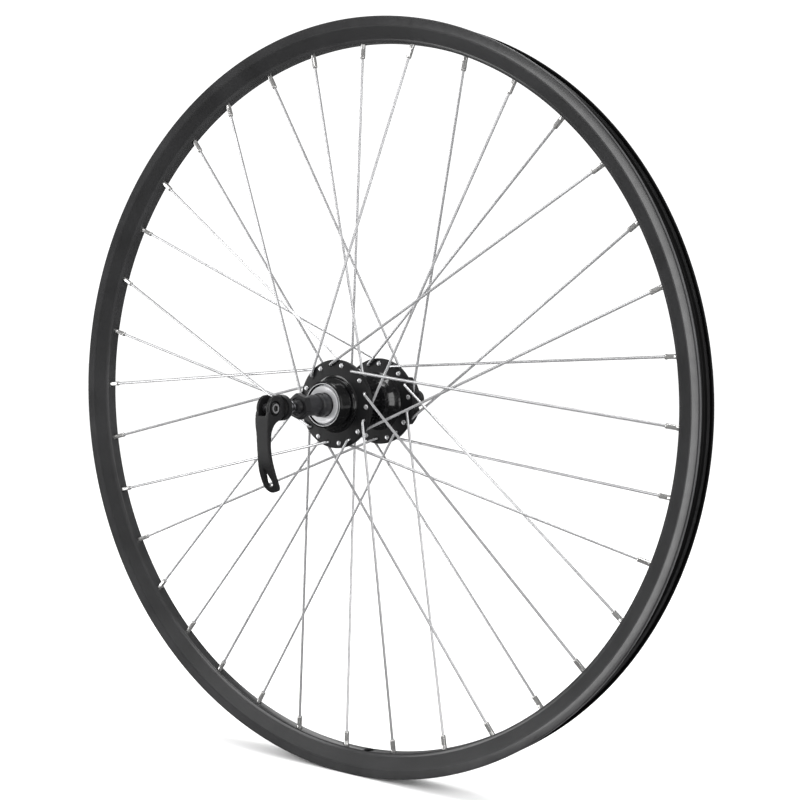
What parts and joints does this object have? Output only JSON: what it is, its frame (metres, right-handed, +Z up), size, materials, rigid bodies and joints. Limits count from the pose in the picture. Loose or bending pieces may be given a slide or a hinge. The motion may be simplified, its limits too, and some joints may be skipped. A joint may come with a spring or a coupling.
{
  "type": "bicycle rear wheel",
  "caption": "Spoked rear bicycle wheel with a threaded sprocket hub, a disc brake mount and a quick release lever; it carries the rear of the bicycle and its drive.",
  "frame": {"origin": "wheel centre on the axle line, midway between the outer faces of the two locknuts", "axes": "+Y along the axle from the sprocket side to the brake disc side, +Z up, +X across the wheel; the closed lever hangs towards -Z"},
  "size_m": [0.5709, 0.1924, 0.571],
  "materials": {
    "rim_black": "black anodised, matt sidewalls and gloss bed",
    "spoke_steel": "bright drawn wire",
    "nipple_plated": "bright nickel plating",
    "hub_black": "gloss black anodised",
    "race_steel": "ground race",
    "dust_cap_zinc": "bright zinc plating, turned",
    "ball_steel": "polished",
    "axle_black": "black oxide",
    "release_black": "satin black paint",
    "seat_nylon": "moulded nylon",
    "spring_steel": "spring wire",
    "bolt_black": "black oxide"
  },
  "bodies": {
    "axle_set": {"axle": "axle_black", "cone_drive": "axle_black", "cone_disc": "axle_black", "axle_spacer_drive": "axle_black", "axle_spacer_disc": "axle_black", "lock_washer_drive": "axle_black", "lock_washer_disc": "axle_black", "locknut_drive": "axle_black", "locknut_disc": "axle_black"},
    "wheel": {"rim": "rim_black", "rim_joint_sleeve": "race_steel", "spokes_drive_inner": "spoke_steel", "spokes_drive_outer": "spoke_steel", "spokes_disc_outer": "spoke_steel", "spokes_disc_inner": "spoke_steel", "nipples_drive": "nipple_plated", "nipples_disc": "nipple_plated", "hub_shell": "hub_black", "bearing_cup_drive": "race_steel", "bearing_cup_disc": "race_steel", "dust_cap_drive": "dust_cap_zinc", "dust_cap_disc": "dust_cap_zinc"},
    "balls_drive": {"bearing_balls_drive": "ball_steel"},
    "balls_disc": {"bearing_balls_disc": "ball_steel"},
    "release_cap": {"quick_release_cap": "release_black", "cam_seat": "seat_nylon", "spring_drive": "spring_steel"},
    "skewer": {"skewer_rod": "race_steel", "pivot_barrel": "race_steel"},
    "lever": {"quick_release_lever": "release_black", "lever_pivot_bolt": "bolt_black"},
    "nut_insert": {"nut_insert": "seat_nylon", "spring_disc": "spring_steel"},
    "nut": {"adjusting_nut": "release_black"}
  },
  "joints": [
    {"name": "wheel_spin", "type": "hinge", "parent": "axle_set", "child": "wheel", "pos_m": [0, 0, 0], "axis": [0, 1, 0], "continuous": true},
    {"name": "balls_drive_roll", "type": "hinge", "parent": "axle_set", "child": "balls_drive", "pos_m": [0, 0, 0], "axis": [0, 1, 0], "continuous": true},
    {"name": "balls_disc_roll", "type": "hinge", "parent": "axle_set", "child": "balls_disc", "pos_m": [0, 0, 0], "axis": [0, 1, 0], "continuous": true},
    {"name": "skewer_turn", "type": "hinge", "parent": "axle_set", "child": "release_cap", "pos_m": [0, 0, 0], "axis": [0, 1, 0], "continuous": true},
    {"name": "skewer_draw", "type": "slide", "parent": "release_cap", "child": "skewer", "axis": [0, 1, 0], "range_m": [0, 0.002], "deforming": ["spring_disc"]},
    {"name": "lever_swing", "type": "hinge", "parent": "skewer", "child": "lever", "pos_m": [0, -0.0982, 0], "axis": [-1, 0, 0], "range_deg": [0, 180]},
    {"name": "nut_advance", "type": "slide", "parent": "skewer", "child": "nut_insert", "axis": [0, 1, 0], "range_m": [0, 0.0032]},
    {"name": "nut_turn", "type": "hinge", "parent": "nut_insert", "child": "nut", "pos_m": [0, 0.08, 0], "axis": [0, 1, 0], "range_deg": [0, 1440]}
  ],
  "couplings": [
    {"joint": "balls_drive_roll", "follows": "wheel_spin", "ratio": 0.6},
    {"joint": "balls_disc_roll", "follows": "wheel_spin", "ratio": 0.6},
    {"joint": "skewer_draw", "follows": "lever_swing", "m_per_rad": 0.00063662},
    {"joint": "nut_advance", "follows": "nut_turn", "m_per_rad": 0.00012732}
  ]
}
